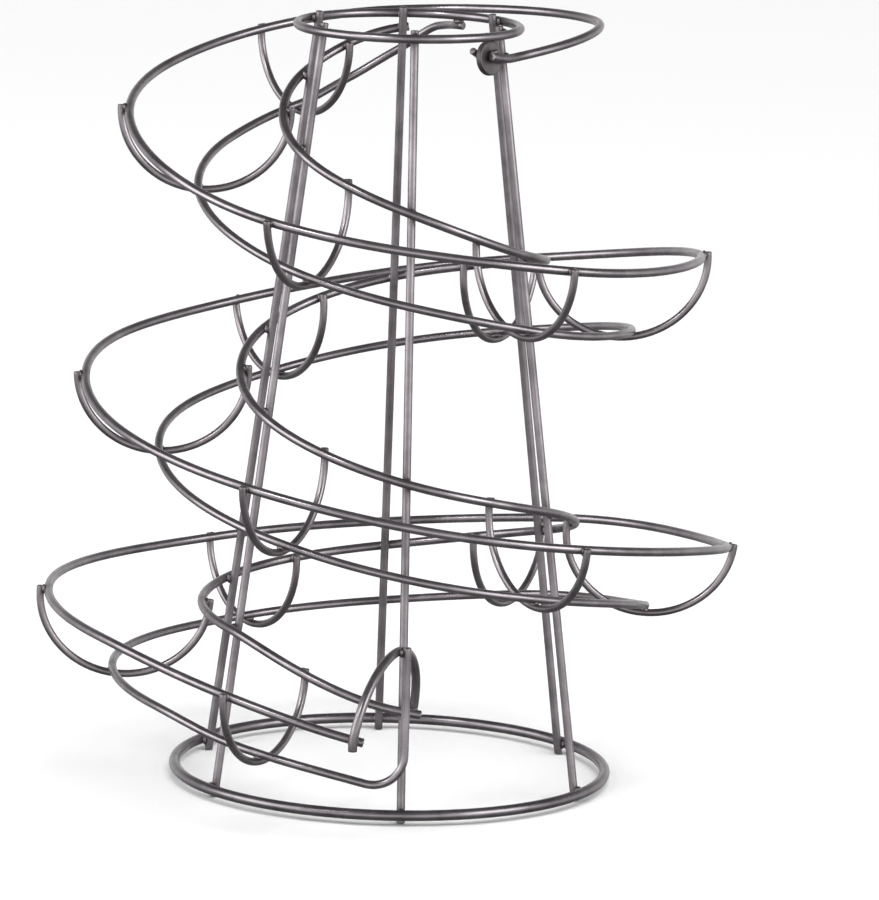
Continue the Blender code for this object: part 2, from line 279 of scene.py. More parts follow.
def swept_curve(name, points, diameter, closed):
    """The wire as a bevelled curve, along points that are given around the rack's axis."""
    curve = bpy.data.curves.new(name, "CURVE")
    curve.dimensions = "3D"
    curve.bevel_depth = diameter / 2
    curve.bevel_resolution = WIRE_BEVEL
    curve.use_fill_caps = not closed
    spline = curve.splines.new("POLY")
    spline.points.add(len(points) - 1)
    for target, point in zip(spline.points, points):
        target.co = (*(point + AXIS), 1.0)
    spline.use_cyclic_u = closed
    spline.use_smooth = True
    obj = bpy.data.objects.new(name, curve)
    bpy.context.scene.collection.objects.link(obj)
    return obj


def mesh_of_curve(curve_obj):
    """The curve's surface as a bmesh, with its caps welded on; the curve itself is removed."""
    depsgraph = bpy.context.evaluated_depsgraph_get()
    mesh = bpy.data.meshes.new_from_object(curve_obj.evaluated_get(depsgraph))
    shape = bmesh.new()
    shape.from_mesh(mesh)
    bmesh.ops.remove_doubles(shape, verts=shape.verts, dist=MERGE_DISTANCE)
    bpy.data.objects.remove(curve_obj, do_unlink=True)
    bpy.data.meshes.remove(mesh)
    return shape


def round_ends(shape):
    """Makes each end cap one face and rounds its rim, as the plating leaves a cut end."""
    # a curve's caps are triangles and its sides have four corners
    caps = [face for face in shape.faces if len(face.verts) == 3]
    bmesh.ops.dissolve_faces(shape, faces=caps)
    ends = [face for face in shape.faces if len(face.verts) > 4]
    rims = list({edge for face in ends for edge in face.edges})
    bmesh.ops.bevel(shape, geom=rims, offset=END_ROUNDING, affect="EDGES", segments=END_SEGMENTS,
                    profile=0.5, material=-1, clamp_overlap=True)


def scale_lay(shape, length):
    """U becomes metres along the wire; V stays one turn around it."""
    lay = shape.loops.layers.uv.active
    for face in shape.faces:
        for loop in face.loops:
            loop[lay].uv.x *= length


test_path = [Vector((0, 0, 0)), Vector((TEST_LENGTH, 0, 0))]
test = mesh_of_curve(swept_curve("test_wire", test_path, RAIL_WIRE, False))
round_ends(test)
print("a test wire has", len(test.faces), "faces; all closed:", all(e.is_manifold for e in test.edges))
test.free()

# %% [markdown]
# ## Where the welds are
# Each crossing is spot-welded: two electrodes press the wires together and a
# short burst of current melts them into each other. It leaves a small collar of
# squeezed metal, and a few millimetres of wire on both sides that the heat has
# roughened, which still show as a darker, duller patch through the plating.
#
# So every weld is noted in a list as it comes up: its place and the direction
# from one wire to the other. The beads are modelled from this list, and each
# wire also learns from it how near each of its points is to a weld.

# %% A list of welds, and how near a wire's points are to them
WELDS = {}
HEAT_REACH = 6.0 * MM


def note_weld(family, first, second, first_wire, second_wire):
    """Notes the weld between two wires, given a point on each one's middle line."""
    towards = (second - first).normalized()
    reach = (second - first).length
    middle = first + towards * (first_wire / 2 + (reach - first_wire / 2 - second_wire / 2) / 2)
    size = min(first_wire, second_wire)
    WELDS.setdefault(family, []).append((middle + AXIS, towards, size))


def mark_heat(mesh):
    """Writes how near each point is to a weld, from 0 far away to 1 at the bead."""
    places = np.array([place for welds in WELDS.values() for place, _, _ in welds])
    points = np.array([vertex.co for vertex in mesh.vertices])
    nearest = np.full(len(points), 1.0)
    for place in places:
        nearest = np.minimum(nearest, np.linalg.norm(points - place, axis=1))
    heat = mesh.attributes.new("weld_heat", "FLOAT", "POINT")
    heat.data.foreach_set("value", np.clip(1 - nearest / HEAT_REACH, 0, 1).astype(np.float32))


print("heat reaches", round(HEAT_REACH / MM), "mm along a wire")

# %% [markdown]
# ## The paths of the frame
# The rings are true circles. Each starts at an upright, so that the place where
# a real ring's two ends are joined hides behind a weld. The uprights are straight
# from foot to head, but they get a point every 3 mm, because the marks of the
# welding heat are stored on the points of the mesh.

# %% Paths of the rings and uprights, and their welds
UPRIGHT_ANGLES = (30, 90, 150, 210, 270, 330)
RINGS = {
    "base_ring": (BASE_RING_RADIUS, RING_BASE_HEIGHT, BASE_RING_WIRE),
    "top_ring": (TOP_RING_RADIUS, TOP_RING_HEIGHT, TOP_RING_WIRE),
}
FINE_STEP = 1.5                 # degrees between two points of a ring or a rail
FINE_SPACING = 3.0 * MM         # between two points of a straight wire


def ring_path(radius, height):
    first = UPRIGHT_ANGLES[0]
    return [polar(first + FINE_STEP * i, radius, height) for i in range(round(360 / FINE_STEP))]


def straight_path(start, end, spacing=FINE_SPACING):
    count = max(2, round((end - start).length / spacing))
    return [start.lerp(end, i / count) for i in range(count + 1)]


def upright_path(angle):
    return straight_path(upright_point(angle, 0), upright_point(angle, UPRIGHT_HEAD))


for angle in UPRIGHT_ANGLES:
    for ring, (radius, height, ring_wire) in RINGS.items():
        ring_point = polar(angle, radius, height)
        note_weld(ring, upright_point(angle, height), ring_point, UPRIGHT_WIRE, ring_wire)
print("welds on the rings:", {family: len(welds) for family, welds in WELDS.items()})

# %% [markdown]
# ## The paths of the three rails
# The outer rail starts beside the front right upright, under the top ring, and
# swings out to its full distance within half a turn. The inner rail starts at
# the back and stays against the uprights. The bottom rail starts under the top
# ring and sinks to the bottom of the channel, and at the very end it turns up
# into a short post that props the arched stop.

# %% Paths of the outer and inner rails
OUTER_RAIL_ENDS = (-47, 982.5)
INNER_RAIL_ENDS = (86.5, 995)
OUTER_WELD_ANGLE = -30                      # at the front right upright
INNER_WELD_ANGLES = range(90, 991, 60)      # at every upright that the inner rail passes


def rail_angles(start, end):
    """Angles from start to end, on whole steps between the two ends."""
    first = math.floor(start / FINE_STEP) + 1
    last = math.ceil(end / FINE_STEP) - 1
    return [start, *(FINE_STEP * i for i in range(first, last + 1)), end]


def outer_rail_point(angle):
    return channel_point(angle, channel_width(angle), 0)


def inner_rail_point(angle):
    return channel_point(angle, 0, 0)


def note_upright_weld(family, angle, rail_point):
    """Notes the weld of a rail to the upright at this angle."""
    upright_at = upright_point(angle, rail_height(angle))
    note_weld(family, upright_at, rail_point(angle), UPRIGHT_WIRE, RAIL_WIRE)


outer_path = [outer_rail_point(angle) for angle in rail_angles(*OUTER_RAIL_ENDS)]
inner_path = [inner_rail_point(angle) for angle in rail_angles(*INNER_RAIL_ENDS)]
for angle in INNER_WELD_ANGLES:
    note_upright_weld("inner_rail", angle, inner_rail_point)
note_upright_weld("rail_ends", OUTER_WELD_ANGLE, outer_rail_point)
for name, path in (("outer rail", outer_path), ("inner rail", inner_path)):
    print(name, round(path_length(path), 2), "m of wire")

# %% Path of the arched stop
STOP_HEIGHT = 22.5 * MM
STOP_LEAN = 3.7 * MM
STOP_ANGLE = 981                # of its outer foot
STOP_UPRIGHT_ANGLE = 990        # of the upright that its inner foot stands beside
OUTER_FOOT = 2.6 * MM           # how far the feet reach below the rails' middles
INNER_FOOT = 0.8 * MM
ARCH_STEPS = 40


def stop_feet():
    """Where the arch meets the rails: outside the outer one and inside the inner one."""
    outer_rail = outer_rail_point(STOP_ANGLE)
    outer = polar(STOP_ANGLE, outer_rail.xy.length + seat(RAIL_WIRE, STOP_WIRE), outer_rail.z)
    rail_radius = inner_radius(rail_height(STOP_UPRIGHT_ANGLE))
    foot_radius = rail_radius - seat(RAIL_WIRE, STOP_WIRE) / math.cos(CONE_TILT)
    beside = math.degrees(math.asin(seat(UPRIGHT_WIRE, STOP_WIRE) / foot_radius))
    angle = STOP_UPRIGHT_ANGLE + beside
    return outer, polar(angle, foot_radius, rail_height(angle)), angle


STOP_OUTER, STOP_INNER, STOP_INNER_ANGLE = stop_feet()
DOWNSTREAM = UP.cross(STOP_OUTER - STOP_INNER).normalized()


def stop_point(turn):
    """A point of the arch: turn runs from 0 at the outer foot to pi at the inner one."""
    middle = (STOP_OUTER + STOP_INNER) / 2
    rise = UP * STOP_HEIGHT + DOWNSTREAM * STOP_LEAN
    return middle + (STOP_OUTER - middle) * math.cos(turn) + rise * math.sin(turn)


arch = [stop_point(math.pi * i / ARCH_STEPS) for i in range(ARCH_STEPS + 1)]
stop_path = [STOP_OUTER - UP * OUTER_FOOT, *arch, STOP_INNER - UP * INNER_FOOT]
note_weld("stop", outer_rail_point(STOP_ANGLE), STOP_OUTER, RAIL_WIRE, STOP_WIRE)
note_weld("stop", inner_rail_point(STOP_INNER_ANGLE), STOP_INNER, RAIL_WIRE, STOP_WIRE)
print("arch spans", round((STOP_OUTER - STOP_INNER).length / MM, 1), "mm")

# %% Path of the bottom rail and its post
BOTTOM_START_ANGLE = 57
BOTTOM_WELD_ANGLE = 60
POST_BEND_RADIUS = 9.0 * MM
BEND_STEPS = 12
POST_TIP = 1.6 * MM             # how far the post reaches above the middle of the arch's wire
SLOPE_SPAN = 7.5                # degrees along which the rail's slope is measured
ARCH_TOP = stop_point(math.pi / 2)
POST_AT_ARCH = ARCH_TOP + DOWNSTREAM * seat(STOP_WIRE, BOTTOM_WIRE)


def bottom_rail_point(angle):
    return channel_point(angle, *bottom_place(angle))


def bend_up(start, level, slope):
    """A bend from a falling slope to upright, in the level direction that it runs."""
    points = []
    for i in range(1, BEND_STEPS + 1):
        pitch = slope + (math.pi / 2 - slope) * i / BEND_STEPS
        forward = level * (math.sin(pitch) - math.sin(slope))
        climb = UP * (math.cos(slope) - math.cos(pitch))
        points.append(start + (forward + climb) * POST_BEND_RADIUS)
    return points


def bottom_rail_path():
    """Down the channel to the arch, and there up into the post."""
    post_top = POST_AT_ARCH + UP * POST_TIP
    post_angle = math.degrees(math.atan2(post_top.y, post_top.x)) % 360 + 2 * 360
    run = bottom_rail_point(post_angle) - bottom_rail_point(post_angle - SLOPE_SPAN)
    slope = math.atan2(run.z, run.xy.length)
    reach = POST_BEND_RADIUS * (1 - math.sin(slope))
    bend_angle = post_angle - math.degrees(reach / bottom_rail_point(post_angle).xy.length)
    points = [bottom_rail_point(angle) for angle in rail_angles(BOTTOM_START_ANGLE, bend_angle)]
    bend_start = points[-1]
    level = Vector((post_top.x - bend_start.x, post_top.y - bend_start.y, 0)).normalized()
    points += bend_up(bend_start, level, slope)
    return points + straight_path(points[-1], post_top)[1:]


bottom_path = bottom_rail_path()
ring_above = polar(BOTTOM_WELD_ANGLE, TOP_RING_RADIUS, TOP_RING_HEIGHT)
rail_below = bottom_rail_point(BOTTOM_WELD_ANGLE)
note_weld("rail_ends", ring_above, rail_below, TOP_RING_WIRE, BOTTOM_WIRE)
note_weld("stop", ARCH_TOP, POST_AT_ARCH, STOP_WIRE, BOTTOM_WIRE)
print("bottom rail", round(path_length(bottom_path), 2), "m of wire")
print("its post reaches", round(bottom_path[-1].z / MM, 1), "mm high")

# %% [markdown]
# ## The paths of the cradles
# Fifteen U-shaped wires carry the channel, one for each sixth of a turn. A bent
# U could be traced point by point, but half an ellipse that passes outside both
# side rails and just under the bottom rail gives the same shape from three sizes.
# Its two cut ends stand a millimetre above the side rails' middles.

# %% Paths of the cradles and their welds
CRADLE_ANGLES = range(120, 961, 60)
CRADLE_TIP = 1.0 * MM
CRADLE_STEPS = 48


def cradle_path(angle):
    """Half an ellipse under the channel, with its two cut ends straight up."""
    middle = channel_width(angle) / 2
    reach = middle + seat(RAIL_WIRE, CRADLE_WIRE) - CRADLE_PRESS
    across, under = bottom_place(angle)
    low = under + seat(BOTTOM_WIRE, CRADLE_WIRE) - CRADLE_PRESS
    drop = low / math.sqrt(1 - ((across - middle) / reach) ** 2)
    turns = [math.pi * i / CRADLE_STEPS for i in range(CRADLE_STEPS + 1)]
    section = [(middle - reach * math.cos(t), drop * math.sin(t)) for t in turns]
    section = [(middle - reach, -CRADLE_TIP), *section, (middle + reach, -CRADLE_TIP)]
    return [channel_point(angle, *place) for place in section]


def note_cradle_welds(angle):
    """Notes the three places where a cradle is pressed onto a rail."""
    width = channel_width(angle)
    across, under = bottom_place(angle)
    side = seat(RAIL_WIRE, CRADLE_WIRE) - CRADLE_PRESS
    below = seat(BOTTOM_WIRE, CRADLE_WIRE) - CRADLE_PRESS
    crossings = (
        ("outer_rail", (width, 0), (width + side, 0), RAIL_WIRE),
        ("inner_side", (0, 0), (-side, 0), RAIL_WIRE),
        ("bottom_rail", (across, under), (across, under + below), BOTTOM_WIRE))
    for family, rail, cradle, rail_wire in crossings:
        rail_at = channel_point(angle, *rail)
        cradle_at = channel_point(angle, *cradle)
        note_weld(family, rail_at, cradle_at, rail_wire, CRADLE_WIRE)


for angle in CRADLE_ANGLES:
    note_cradle_welds(angle)
print(len(CRADLE_ANGLES), "cradles;", sum(len(welds) for welds in WELDS.values()), "welds so far")

# %% [markdown]
# ## The plate behind the outer rail's upper end
# A small round plate stands behind the end of the outer rail. The rail's wire
# lies across its face, and the plate leans with the cone. A short cut wire lies
# behind it and shows past its edge. Both are placed in a frame of their own:
# along the rail, up the cone and outwards.

# %% The plate's own frame, and the stub's path
PLATE_DIAMETER = 10.2 * MM
PLATE_THICKNESS = 2.0 * MM
PLATE_ANGLE = -43.5
STUB_SLANT = math.radians(30)   # above level
STUB_LENGTH = 4.2 * MM
STUB_SHOWS = 0.4 * MM           # past the plate's edge
STUB_SPACING = 0.7 * MM         # between two points of its path
STUB_WELD = 2.4 * MM            # from its outer end
BEAD_ALONG = -0.4 * MM          # how far along the rail the plate's front bead is,
BEAD_ABOVE = 1.4 * MM           # how far above the rail
BEAD_PROUD = 0.3 * MM           # and how far in front of the plate


def plate_frame(rail_point):
    """A frame at the plate's middle: along the rail, up the cone and outwards."""
    along = UP.cross(polar(PLATE_ANGLE, 1, 0))
    up_cone = polar(PLATE_ANGLE, -math.sin(CONE_TILT), math.cos(CONE_TILT))
    outward = along.cross(up_cone)
    middle = rail_point - outward * (RAIL_WIRE / 2 + WELD_GAP + PLATE_THICKNESS / 2)
    return Matrix.Translation(middle) @ Matrix((along, up_cone, outward)).transposed().to_4x4()


rail_at_plate = outer_rail_point(PLATE_ANGLE)
PLATE_FRAME = plate_frame(rail_at_plate)
stub_way = Vector((-math.cos(STUB_SLANT), math.sin(STUB_SLANT), 0))
stub_behind = Vector((0, 0, -(PLATE_THICKNESS / 2 + WELD_GAP + STUB_WIRE / 2)))
stub_reach = PLATE_DIAMETER / 2 + STUB_SHOWS
stub_start = PLATE_FRAME @ (stub_behind + stub_way * (stub_reach - STUB_LENGTH))
stub_end = PLATE_FRAME @ (stub_behind + stub_way * stub_reach)
stub_path = straight_path(stub_start, stub_end, STUB_SPACING)

note_weld("plate", rail_at_plate, PLATE_FRAME.translation, RAIL_WIRE, PLATE_THICKNESS)
above_rail = Vector((BEAD_ALONG, RAIL_WIRE / 2 + BEAD_ABOVE, PLATE_THICKNESS / 2 + BEAD_PROUD))
note_weld("plate", rail_at_plate, PLATE_FRAME @ above_rail, RAIL_WIRE, RAIL_WIRE)
plate_back = stub_way * (stub_reach - STUB_WELD)
stub_at = PLATE_FRAME @ (stub_behind + plate_back)
note_weld("plate", PLATE_FRAME @ plate_back, stub_at, PLATE_THICKNESS, STUB_WIRE)
print("plate leans", round(math.degrees(CONE_TILT), 1), "degrees with the cone")

# %% [markdown]
# ## The metal's finish, in four small groups
# The rack is mild steel wire with a dark satin nickel plating. Seen close, four
# things make it look like that and not like grey plastic: faint lines that the
# drawing die left along the wire, a plating that is a little cloudy and finely
# grained, a burnished look where things roll over it, and the dull patches that
# the welding heat left. Each is a node group, so that every wire can use it with
# its own strength. A group only puts out masks; each material does the shading.

# %% Small helpers for shader nodes
NOISE_ROUGHNESS = 0.6


def feed(tree, socket, value):
    """Gives an input a value, or links the output of another node to it."""
    if isinstance(value, bpy.types.NodeSocket):
        tree.links.new(value, socket)
    else:
        socket.default_value = value


def add_node(tree, kind, links=None, **settings):
    """Adds a shader node; links gives its inputs values, or outputs of other nodes."""
    made = tree.nodes.new("ShaderNode" + kind)
    for key, value in settings.items():
        setattr(made, key, value)
    for key, value in (links or {}).items():
        feed(tree, made.inputs[key], value)
    return made


def maths(tree, operation, *values):
    return add_node(tree, "Math", dict(enumerate(values)), operation=operation).outputs[0]


def noise_mask(tree, place, scale, detail, low, high):
    """Noise at a scale, spread so that low and high become 0 and 1."""
    grain = add_node(tree, "TexNoise", {
        "Vector": place, "Scale": scale, "Detail": detail, "Roughness": NOISE_ROUGHNESS})
    spread = add_node(tree, "MapRange", {
        "Value": grain.outputs["Fac"], "From Min": low, "From Max": high})
    return spread.outputs["Result"]


def new_group(name, inputs, outputs):
    """A shader group with named sockets; returns it with its inner input and output nodes."""
    tree = bpy.data.node_groups.new(name, "ShaderNodeTree")
    for label, kind, value in inputs:
        socket = tree.interface.new_socket(label, in_out="INPUT", socket_type="NodeSocket" + kind)
        if value is not None:
            socket.default_value = value
    for label in outputs:
        tree.interface.new_socket(label, in_out="OUTPUT", socket_type="NodeSocketFloat")
    given = tree.nodes.new("NodeGroupInput").outputs
    return tree, given, tree.nodes.new("NodeGroupOutput").inputs


print("node helpers ready")

# %% Group: lines that the drawing die leaves along a wire
lines_group, given, result = new_group("drawn_lines", [
    ("Lay", "Vector", None),
    ("Fineness", "Float", 7.0),
    ("Runs per metre", "Float", 22.0)], ["Lines"])
lay = add_node(lines_group, "SeparateXYZ", {0: given["Lay"]})
around = maths(lines_group, "MULTIPLY", lay.outputs["Y"], math.tau)
ring_x = maths(lines_group, "MULTIPLY", maths(lines_group, "COSINE", around), given["Fineness"])
ring_y = maths(lines_group, "MULTIPLY", maths(lines_group, "SINE", around), given["Fineness"])
run = maths(lines_group, "MULTIPLY", lay.outputs["X"], given["Runs per metre"])
unrolled = add_node(lines_group, "CombineXYZ", {0: ring_x, 1: ring_y, 2: run})
lines = noise_mask(lines_group, unrolled.outputs[0], scale=1.0, detail=3.0, low=0.3, high=0.7)
lines_group.links.new(lines, result["Lines"])
print("group", lines_group.name, "made")

# %% Group: the plating's clouds and grain
plating_group, given, result = new_group("plating", [
    ("Place", "Vector", None),
    ("Clouds per metre", "Float", 90.0),
    ("Grains per metre", "Float", 3200.0)], ["Clouds", "Grain"])
clouds = noise_mask(plating_group, given["Place"], given["Clouds per metre"],
                    detail=4.0, low=0.32, high=0.68)
grains = noise_mask(plating_group, given["Place"], given["Grains per metre"],
                    detail=2.0, low=0.3, high=0.7)
plating_group.links.new(clouds, result["Clouds"])
plating_group.links.new(grains, result["Grain"])
print("group", plating_group.name, "made")

# %% Group: metal burnished where it faces upwards
burnish_group, given, result = new_group("burnish", [
    ("Facing", "Vector", None),
    ("Place", "Vector", None),
    ("Reach", "Float", 0.45)], ["Burnish"])
facing = add_node(burnish_group, "SeparateXYZ", {0: given["Facing"]})
rising = add_node(burnish_group, "MapRange", {
    "Value": facing.outputs["Z"], "From Min": given["Reach"], "From Max": 1.0},
    interpolation_type="SMOOTHSTEP")
patches = noise_mask(burnish_group, given["Place"], scale=140.0, detail=2.0, low=0.3, high=0.62)
burnish = maths(burnish_group, "MULTIPLY", rising.outputs["Result"], patches)
burnish_group.links.new(burnish, result["Burnish"])
print("group", burnish_group.name, "made")

# %% Group: dull patches from the welding heat
scorch_group, given, result = new_group("weld_scorch", [
    ("Heat", "Float", 0.0),
    ("Place", "Vector", None),
    ("Sharpness", "Float", 1.6)], ["Scorch"])
closeness = maths(scorch_group, "POWER", given["Heat"], given["Sharpness"])
ragged = noise_mask(scorch_group, given["Place"], scale=900.0, detail=3.0, low=0.15, high=0.6)
scorch = maths(scorch_group, "MULTIPLY", closeness, ragged)
scorch_group.links.new(scorch, result["Scorch"])
print("group", scorch_group.name, "made")

# %% [markdown]
# ## One recipe, several metals
# All the wires share one recipe with different tones. It mixes a darker and a
# lighter grey by the clouds, darkens the drawn lines and the scorched patches a
# little, and makes the burnished tops shinier. The bump is tiny: the lines and
# the grain are at most about a hundredth of a millimetre deep, just enough to
# break up the long highlights.

# %% The recipe for satin plated metal
LINE_SHADE = 0.16               # how much the lines and the scorch darken the metal
SCORCH_SHADE = 0.75
SCORCH_TONE = (0.06, 0.052, 0.05)
CLOUD_ROUGHNESS = 0.07          # how much rougher or smoother each mask makes it
LINE_ROUGHNESS = 0.06
SCORCH_ROUGHNESS = 0.22
BURNISH_ROUGHNESS = -0.08
GRAIN_SHARE = 0.5               # of the bump, against the lines
BUMP_STRENGTH = 0.35
BUMP_DEPTH = 0.012 * MM


def use_group(tree, group, links):
    """Places a group in a material and returns its outputs."""
    return add_node(tree, "Group", links, node_tree=group).outputs


def blend_colour(tree, share, first, second, way="MIX"):
    """Mixes two colours; each is three numbers or the output of another node."""
    mixed = add_node(tree, "Mix", {0: share}, data_type="RGBA", blend_type=way)
    for socket, colour in ((mixed.inputs[6], first), (mixed.inputs[7], second)):
        feed(tree, socket, (*colour, 1.0) if isinstance(colour, tuple) else colour)
    return mixed.outputs[2]


def satin_metal(name, dark, light, roughness, line_depth, grain_depth):
    """Plated steel: two tones, a roughness, and how deep its lines and grain are."""
    material = bpy.data.materials.new(name)
    material.use_nodes = True
    tree = material.node_tree
    shader = tree.nodes["Principled BSDF"]
    shader.inputs["Metallic"].default_value = 1.0
    spot = add_node(tree, "TexCoord").outputs
    lay = add_node(tree, "UVMap", uv_map="wire_lay").outputs["UV"]
    heat = add_node(tree, "Attribute", attribute_name="weld_heat").outputs["Fac"]
    place = spot["Object"]
    lines = use_group(tree, lines_group, {"Lay": lay})["Lines"]
    plating = use_group(tree, plating_group, {"Place": place})
    burnish = use_group(tree, burnish_group, {"Facing": spot["Normal"], "Place": place})["Burnish"]
    scorch = use_group(tree, scorch_group, {"Heat": heat, "Place": place})["Scorch"]

    colour = blend_colour(tree, plating["Clouds"], dark, light)
    lined = maths(tree, "MULTIPLY", lines, LINE_SHADE * line_depth)
    colour = blend_colour(tree, lined, colour, dark, "MULTIPLY")
    scorched = maths(tree, "MULTIPLY", scorch, SCORCH_SHADE)
    colour = blend_colour(tree, scorched, colour, SCORCH_TONE)
    tree.links.new(colour, shader.inputs["Base Color"])

    rough = maths(tree, "MULTIPLY_ADD", plating["Clouds"], CLOUD_ROUGHNESS, roughness)
    rough = maths(tree, "MULTIPLY_ADD", lines, LINE_ROUGHNESS * line_depth, rough)
    rough = maths(tree, "MULTIPLY_ADD", scorch, SCORCH_ROUGHNESS, rough)
    rough = maths(tree, "MULTIPLY_ADD", burnish, BURNISH_ROUGHNESS, rough)
    tree.links.new(rough, shader.inputs["Roughness"])

    height = maths(tree, "MULTIPLY", lines, line_depth)
    height = maths(tree, "MULTIPLY_ADD", plating["Grain"], GRAIN_SHARE * grain_depth, height)
    bump = add_node(tree, "Bump", {
        "Strength": BUMP_STRENGTH, "Distance": BUMP_DEPTH, "Height": height})
    tree.links.new(bump.outputs["Normal"], shader.inputs["Normal"])
    return material


print("the recipe for satin metal is ready")

# %% [markdown]
# Wires from different coils come out of the plating bath a little different: the
# uprights keep the deepest drawn lines, the rails are the smoothest, and the stamped
# plate is the darkest and dullest. It has no drawn lines, only grain. The base ring's
# tones are painted a shade darker than the top ring's, as painted shade at the rack's foot.

# %% The metals that the pieces are made of
METAL_TONES = {
    # dark tone, light tone, roughness, depth of the lines, depth of the grain
    # the base ring's tones are painted shade: darker than the top ring's for the shade at the rack's
    # foot
    "shaded_base_wire": ((0.21, 0.192, 0.205), (0.335, 0.309, 0.33), 0.23, 1.3, 1.0),
    "ring_wire": ((0.25, 0.229, 0.244), (0.39, 0.36, 0.384), 0.23, 1.3, 1.0),
    "upright_wire": ((0.21, 0.193, 0.205), (0.395, 0.366, 0.387), 0.28, 2.4, 1.0),
    "rail_wire": ((0.25, 0.229, 0.244), (0.4, 0.369, 0.392), 0.2, 1.3, 1.0),
    "cradle_wire": ((0.21, 0.191, 0.202), (0.36, 0.331, 0.351), 0.24, 1.0, 1.0),
    "stop_wire": ((0.22, 0.201, 0.211), (0.35, 0.322, 0.337), 0.27, 1.0, 1.0),
    "plate_sheet": ((0.12, 0.11, 0.114), (0.2, 0.184, 0.191), 0.4, 0.0, 2.0),
}
METALS = {metal: satin_metal(metal + "_plated", *tones) for metal, tones in METAL_TONES.items()}
print("materials:", ", ".join(METALS))

# %% [markdown]
# ## Making the wires
# Every wire goes through the same bench: sweep it along its path, round its cut
# ends, mark where the welding heat reached, give it its metal, and let it stand
# for its CAD node. All the welds are known by now, so the marks are right.

# %% The bench that finishes a wire
def finish_piece(shape, name, metal, nodes):
    """Turns a bmesh into a finished piece that stands for its CAD nodes."""
    mesh = bpy.data.meshes.new(name)
    bmesh.ops.recalc_face_normals(shape, faces=shape.faces)
    for face in shape.faces:
        face.smooth = True
    shape.to_mesh(mesh)
    shape.free()
    if mesh.uv_layers:
        mesh.uv_layers[0].name = "wire_lay"
    mark_heat(mesh)
    mesh.materials.append(METALS[metal])
    piece = bpy.data.objects.new(name, mesh)
    bpy.context.scene.collection.objects.link(piece)
    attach(piece, "root")
    if nodes:
        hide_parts(*nodes)
    return piece


def make_wire(node, path, diameter, metal, closed=False, shape_foot=None):
    """Sweeps and finishes the wire that stands for one CAD node."""
    shape = mesh_of_curve(swept_curve(node, path, diameter * WIRE_TRIM, closed))
    scale_lay(shape, path_length(path))
    if shape_foot:
        shape_foot(shape)
    if not closed:
        round_ends(shape)
    return finish_piece(shape, node + "_wire", metal, [node])


print("the bench is ready for", len(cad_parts), "nodes")

# %% The two rings
# the base ring takes the darker tones, which are painted shade
for node, metal in (("base_ring", "shaded_base_wire"), ("top_ring", "ring_wire")):
    radius, height, diameter = RINGS[node]
    made = make_wire(node, ring_path(radius, height), diameter, metal, closed=True)
    print(made.name, len(made.data.polygons), "faces")

# %% [markdown]
# ## The uprights stand flat
# A wire that is cut square to its length would stand on one edge, because the
# uprights lean. On the real rack the six tips are levelled together, so here the
# points of each lower cut slide along the wire down to the floor.

# %% The six uprights
FOOT_CUT = 1.0 * MM             # points lower than this belong to the lower cut


def level_foot(angle):
    """Returns a step that slides the points of an upright's lower cut down to the floor."""
    along = (upright_point(angle, UPRIGHT_HEAD) - upright_point(angle, 0)) / UPRIGHT_HEAD

    def level(shape):
        for vertex in shape.verts:
            if vertex.co.z < FOOT_CUT:
                vertex.co -= along * vertex.co.z
    return level


for angle in UPRIGHT_ANGLES:
    made = make_wire(f"upright_{angle:03d}", upright_path(angle), UPRIGHT_WIRE, "upright_wire",
                     shape_foot=level_foot(angle))
print("last upright's lowest point in mm:", round(min(v.co.z for v in made.data.vertices) / MM, 3))

# %% The three rails
for node, path, diameter in (
        ("outer_rail", outer_path, RAIL_WIRE),
        ("inner_rail", inner_path, RAIL_WIRE),
        ("bottom_rail", bottom_path, BOTTOM_WIRE)):
    made = make_wire(node, path, diameter, "rail_wire")
    print(made.name, len(made.data.polygons), "faces")

# %% The cradles, the stop and the stub
for i, angle in enumerate(CRADLE_ANGLES):
    made = make_wire(f"cradle_{i + 1:02d}", cradle_path(angle), CRADLE_WIRE, "cradle_wire")
make_wire("end_stop", stop_path, STOP_WIRE, "stop_wire")
make_wire("anchor_stub", stub_path, STUB_WIRE, "stop_wire")
print("last cradle", made.name, in_mm(made.dimensions))

# %% [markdown]
# ## The anchor plate
# The plate is a disc stamped from sheet. A stamping has a rounded rim on the side
# that the punch entered and a slightly dished face. So a circle is extruded to
# the sheet's thickness, its two rims are rounded, and its outer face is inset
# and pressed in by a tenth of a millimetre.

# %% Stamp the plate
PLATE_SEGMENTS = 64
PLATE_RIM = 0.4 * MM
RIM_SEGMENTS = 4
PLATE_INSET = 0.7 * MM
PLATE_DISH = 0.1 * MM


def stamped_plate():
    shape = bmesh.new()
    bmesh.ops.create_circle(shape, cap_ends=True, segments=PLATE_SEGMENTS, radius=PLATE_DIAMETER / 2)
    grown = bmesh.ops.extrude_face_region(shape, geom=shape.faces[:])
    top = [item for item in grown["geom"] if isinstance(item, bmesh.types.BMVert)]
    bmesh.ops.translate(shape, vec=(0, 0, PLATE_THICKNESS), verts=top)
    bmesh.ops.translate(shape, vec=(0, 0, -PLATE_THICKNESS / 2), verts=shape.verts)
    bmesh.ops.recalc_face_normals(shape, faces=shape.faces)
    rims = [edge for edge in shape.edges if edge.verts[0].co.z * edge.verts[1].co.z > 0]
    bmesh.ops.bevel(shape, geom=rims, offset=PLATE_RIM, affect="EDGES", segments=RIM_SEGMENTS,
                    profile=0.5, material=-1)
    front = max(shape.faces, key=lambda face: face.calc_center_median().z)
    bmesh.ops.inset_individual(shape, faces=[front], thickness=PLATE_INSET, depth=-PLATE_DISH)
    bmesh.ops.transform(shape, matrix=Matrix.Translation(AXIS) @ PLATE_FRAME, verts=shape.verts)
    return shape


plate = finish_piece(stamped_plate(), "anchor_plate_disc", "plate_sheet", ["anchor_plate"])
print("plate has", len(plate.data.polygons), "faces")

